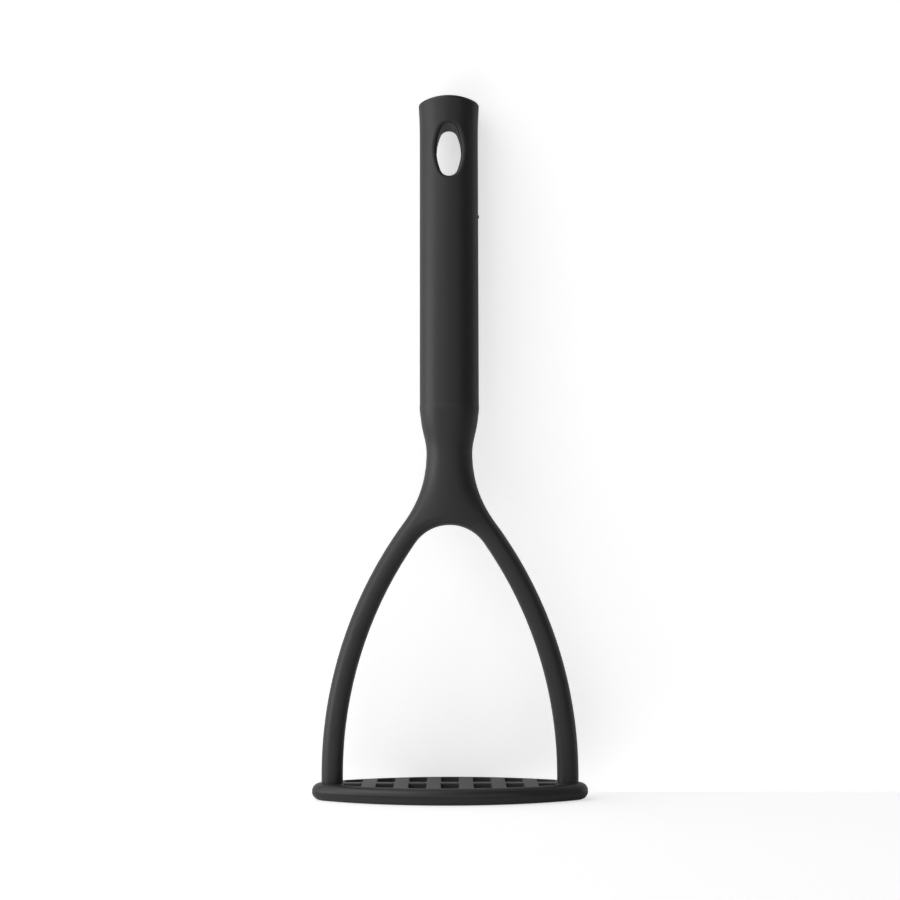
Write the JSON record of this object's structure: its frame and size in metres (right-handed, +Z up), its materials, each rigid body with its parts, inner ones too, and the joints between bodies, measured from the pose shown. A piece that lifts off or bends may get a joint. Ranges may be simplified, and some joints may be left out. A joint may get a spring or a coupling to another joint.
{
  "type": "potato masher",
  "caption": "Black nylon potato masher: a slotted lens-shaped plate on two arched legs under a straight oval grip with a hanging hole.",
  "frame": {"origin": "middle of the underside of the plate, on which the masher stands", "axes": "+Z up along the handle, +X across the legs to the right as seen in the picture, +Y away from the viewer"},
  "size_m": [0.1008, 0.0452, 0.2579],
  "materials": {
    "plate_nylon": "fine satin moulded nylon, worn a little smoother on the rim",
    "frame_nylon": "fine matt moulded nylon",
    "grip_nylon": "fine matt spark-eroded texture"
  },
  "bodies": {
    "root": {"mashing_plate": "plate_nylon", "masher_frame": "frame_nylon", "handle_grip": "grip_nylon"}
  },
  "joints": []
}
